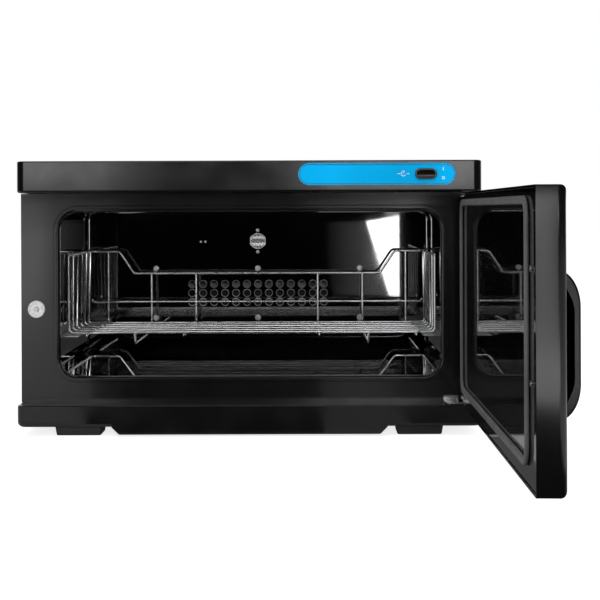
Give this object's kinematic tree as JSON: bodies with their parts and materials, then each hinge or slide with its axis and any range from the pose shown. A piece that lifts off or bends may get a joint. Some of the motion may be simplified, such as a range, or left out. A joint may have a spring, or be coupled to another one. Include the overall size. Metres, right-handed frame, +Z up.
{
  "type": "towel warmer cabinet",
  "caption": "Countertop towel warmer cabinet with a side-hinged door, a mirror-lined chamber, wire baskets, a rear heater and a rocker switch.",
  "frame": {"origin": "centre of the whole footprint with the door open at a right angle, at the table's level", "axes": "+Z up, +X to the cabinet's right as seen from its front, +Y from the front to the back"},
  "size_m": [0.4678, 0.7146, 0.2659],
  "materials": {
    "cover_plastic": "gloss black moulded plastic",
    "base_plastic": "gloss black moulded plastic",
    "blue_panel": "satin blue plastic",
    "switch_plastic": "semi-gloss black plastic",
    "body_paint": "semi-gloss black paint",
    "door_paint": "gloss black paint",
    "dark_mirror": "dark mirror-finished sheet",
    "wire_chrome": "chromed steel wire",
    "hardware_steel": "plated steel",
    "zinc_steel": "galvanised steel",
    "gasket_rubber": "soft grey silicone",
    "black_rubber": "black rubber",
    "wool": "glass wool blanket",
    "foam": "pale insulation wool",
    "nylon": "natural nylon",
    "ceramic": "cream ceramic",
    "red_lead": "red insulated wire",
    "blue_lead": "blue insulated wire",
    "magnet_grey": "dark sintered magnet"
  },
  "bodies": {
    "cabinet": {"top_cover": "cover_plastic", "control_panel": "blue_panel", "switch_housing": "switch_plastic", "outer_shell": "body_paint", "front_frame": "body_paint", "rear_panel": "body_paint", "base_tray": "base_plastic", "foot_front_left": "black_rubber", "foot_front_right": "black_rubber", "foot_rear_left": "black_rubber", "foot_rear_right": "black_rubber", "chamber_liner": "dark_mirror", "chamber_back_wall": "dark_mirror", "vent_mesh": "hardware_steel", "vent_screw_lower": "hardware_steel", "vent_screw_upper": "hardware_steel", "heater_housing": "zinc_steel", "heater_element": "zinc_steel", "thermostat": "ceramic", "thermal_fuse": "ceramic", "terminal_block": "nylon", "switch_lead": "red_lead", "heater_lead": "blue_lead", "insulation_blanket": "wool", "basket_rail_left": "dark_mirror", "basket_rail_right": "dark_mirror", "strike_plate": "hardware_steel", "strike_screw": "hardware_steel", "upper_hinge_bracket": "hardware_steel", "lower_hinge_bracket": "hardware_steel", "cable_gland": "black_rubber", "chamber_screw_1": "hardware_steel", "chamber_screw_2": "hardware_steel", "chamber_screw_3": "hardware_steel", "chamber_screw_4": "hardware_steel", "chamber_screw_5": "hardware_steel", "chamber_screw_6": "hardware_steel", "rear_screw_left": "hardware_steel", "rear_screw_right": "hardware_steel"},
    "door": {"door_shell": "door_paint", "door_inner_panel": "door_paint", "door_insulation": "foam", "door_magnet": "magnet_grey", "door_gasket": "gasket_rubber", "door_handle": "cover_plastic", "door_bush_upper": "nylon", "door_bush_lower": "nylon", "door_panel_screw_upper": "hardware_steel", "door_panel_screw_lower": "hardware_steel"},
    "power_rocker": {"power_rocker": "switch_plastic"},
    "upper_basket": {"upper_basket_floor": "wire_chrome", "upper_basket_back": "wire_chrome", "upper_basket_left": "wire_chrome", "upper_basket_right": "wire_chrome", "upper_basket_skid_left": "wire_chrome", "upper_basket_skid_right": "wire_chrome"},
    "lower_basket": {"lower_basket_floor": "wire_chrome", "lower_basket_back": "wire_chrome", "lower_basket_left": "wire_chrome", "lower_basket_right": "wire_chrome"}
  },
  "joints": [
    {"name": "door_hinge", "type": "hinge", "parent": "cabinet", "child": "door", "pos_m": [0.20455, 0.08013, 0.1325], "axis": [0, 0, 1], "range_deg": [-90, 20]},
    {"name": "rocker_tilt", "type": "hinge", "parent": "cabinet", "child": "power_rocker", "pos_m": [0.16185, 0.06972, 0.2525], "axis": [-1, 0, 0], "range_deg": [0, 14]},
    {"name": "upper_basket_slide", "type": "slide", "parent": "cabinet", "child": "upper_basket", "axis": [0, -1, 0], "range_m": [0, 0.25]},
    {"name": "lower_basket_lift", "type": "slide", "parent": "cabinet", "child": "lower_basket", "axis": [0, 0, 1], "range_m": [0, 0.02]}
  ]
}
